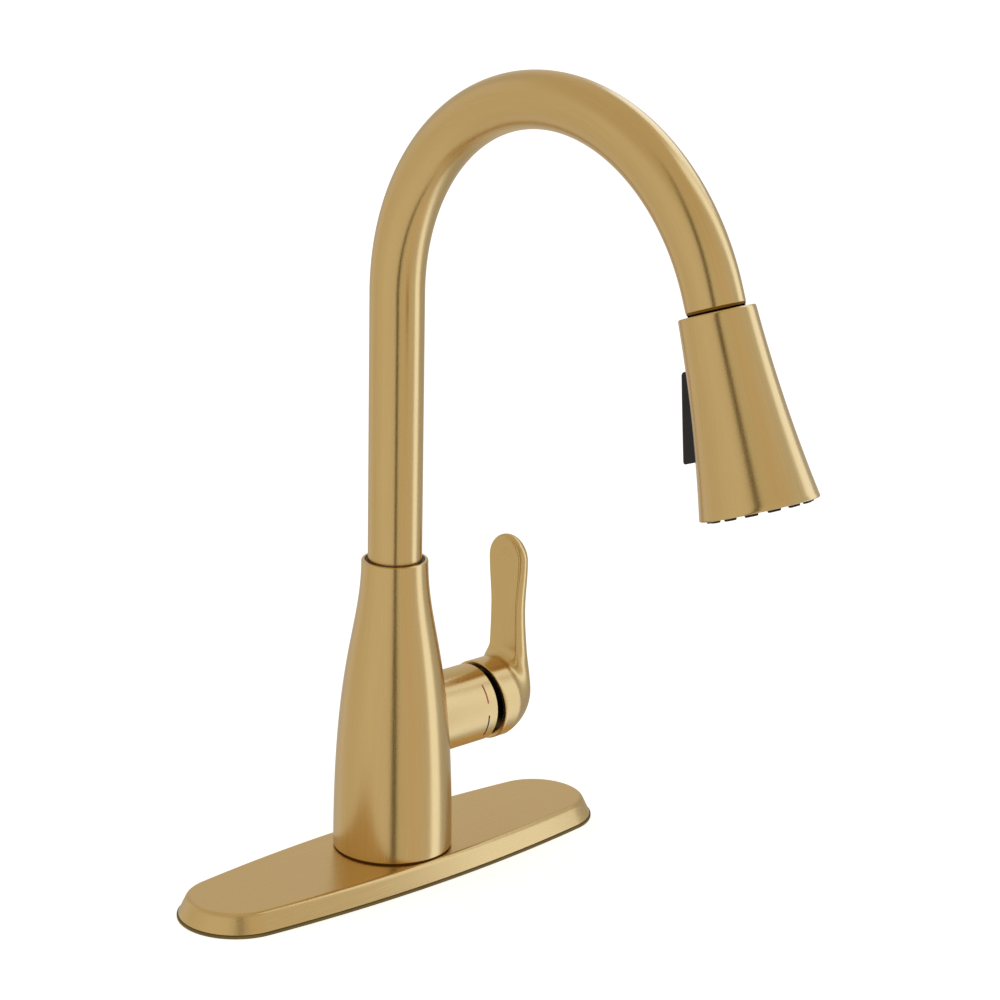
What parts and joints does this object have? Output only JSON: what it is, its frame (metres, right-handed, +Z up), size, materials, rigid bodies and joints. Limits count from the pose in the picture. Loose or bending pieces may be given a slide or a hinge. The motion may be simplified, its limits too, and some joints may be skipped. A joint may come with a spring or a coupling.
{
  "type": "pull down kitchen faucet",
  "caption": "High arc kitchen faucet with a swivelling spout, a flared pull down spray head, a side lever and a bowed oval deck plate.",
  "frame": {"origin": "on the body's axis at the deck surface, under the gasket", "axes": "+Z up along the body, -Y forward along the spout's reach, +X towards the handle"},
  "size_m": [0.254, 0.2945, 0.4659],
  "materials": {
    "gold_brass": "satin brushed gold",
    "gold_plated_metal": "satin brushed gold plating",
    "gold_plated_plastic": "satin brushed gold plating on plastic",
    "bare_brass": "machined",
    "steel": "turned",
    "black_plastic": "moulded satin",
    "grey_plastic": "moulded",
    "black_rubber": "matte",
    "gasket_rubber": "matte",
    "ceramic": "polished",
    "magnet": "sintered",
    "hose_braid": "braided nylon",
    "hot_red": "enamel fill",
    "cold_blue": "enamel fill"
  },
  "bodies": {
    "base": {"deck_gasket": "gasket_rubber", "deck_plate": "gold_plated_metal", "body_seal": "black_rubber", "body_shell": "gold_brass", "mounting_shank": "bare_brass", "valve_housing": "bare_brass", "valve_sleeve": "gold_brass", "hot_mark": "hot_red", "cold_mark": "cold_blue", "cartridge_body": "grey_plastic", "cartridge_seals": "black_rubber", "fixed_disc": "ceramic", "cartridge_nut": "black_plastic", "lower_bushing": "black_plastic", "upper_bushing": "black_plastic", "hose_lower": "hose_braid"},
    "mounting_nut": {"mounting_nut": "bare_brass", "mounting_washer": "black_rubber"},
    "spout": {"spout_tube": "gold_brass", "spout_clips": "steel", "dock_collar": "black_plastic", "dock_magnet": "magnet", "spray_hose": "hose_braid"},
    "hose_end": {"hose_run": "hose_braid", "hose_nut": "bare_brass", "inlet_washer": "black_rubber"},
    "spray_head": {"spray_shell": "gold_plated_plastic", "spray_core": "black_plastic", "dock_ring": "gold_plated_metal", "check_valve": "grey_plastic", "spray_face": "grey_plastic", "rim_jets": "black_rubber", "spray_nozzles": "black_rubber", "aerator": "grey_plastic", "face_seal": "black_rubber", "button_pin": "steel"},
    "spray_button": {"spray_button": "black_plastic"},
    "diverter": {"diverter_spool": "grey_plastic"},
    "cartridge_turn": {"cartridge_carrier": "grey_plastic", "stem_pin": "steel"},
    "moving_disc": {"moving_disc": "ceramic"},
    "lever": {"lever_stem": "steel", "handle_lever": "gold_plated_metal", "handle_set_screw": "steel", "handle_plug": "black_plastic"}
  },
  "joints": [
    {"name": "spout_swivel", "type": "hinge", "parent": "base", "child": "spout", "pos_m": [0, 0, 0], "axis": [0, 0, 1], "continuous": true},
    {"name": "spray_pull", "type": "slide", "parent": "spout", "child": "hose_end", "axis": [0, -0.3404, -0.9403], "range_m": [0, 0.2], "stiffness_N_per_m": 12, "springref_m": -0.45, "deforming": ["hose_run"]},
    {"name": "spray_turn", "type": "hinge", "parent": "hose_end", "child": "spray_head", "pos_m": [0, -0.2052, 0.3181], "axis": [0, -0.3404, -0.9403], "continuous": true},
    {"name": "button_rock", "type": "hinge", "parent": "spray_head", "child": "spray_button", "pos_m": [0, -0.20747, 0.27479], "axis": [1, 0, 0], "range_deg": [-5, 0]},
    {"name": "diverter_shift", "type": "slide", "parent": "spray_head", "child": "diverter", "axis": [0, -0.3404, -0.9403], "range_m": [-0.0012, 0.0001]},
    {"name": "handle_turn", "type": "hinge", "parent": "base", "child": "cartridge_turn", "pos_m": [0, 0, 0.0727], "axis": [1, 0, 0], "range_deg": [-45, 45]},
    {"name": "handle_lift", "type": "hinge", "parent": "cartridge_turn", "child": "lever", "pos_m": [0.039, 0, 0.0727], "axis": [0, 1, 0], "range_deg": [0, 16]},
    {"name": "disc_shift", "type": "slide", "parent": "cartridge_turn", "child": "moving_disc", "axis": [0, 0, 1], "range_m": [-0.0001, 0.0016]},
    {"name": "mounting_nut_drop", "type": "slide", "parent": "base", "child": "mounting_nut", "axis": [0, 0, -1], "range_m": [-0.015, 0.1]}
  ],
  "couplings": [
    {"joint": "diverter_shift", "follows": "button_rock", "m_per_rad": 0.0126},
    {"joint": "disc_shift", "follows": "handle_lift", "m_per_rad": 0.00545}
  ]
}
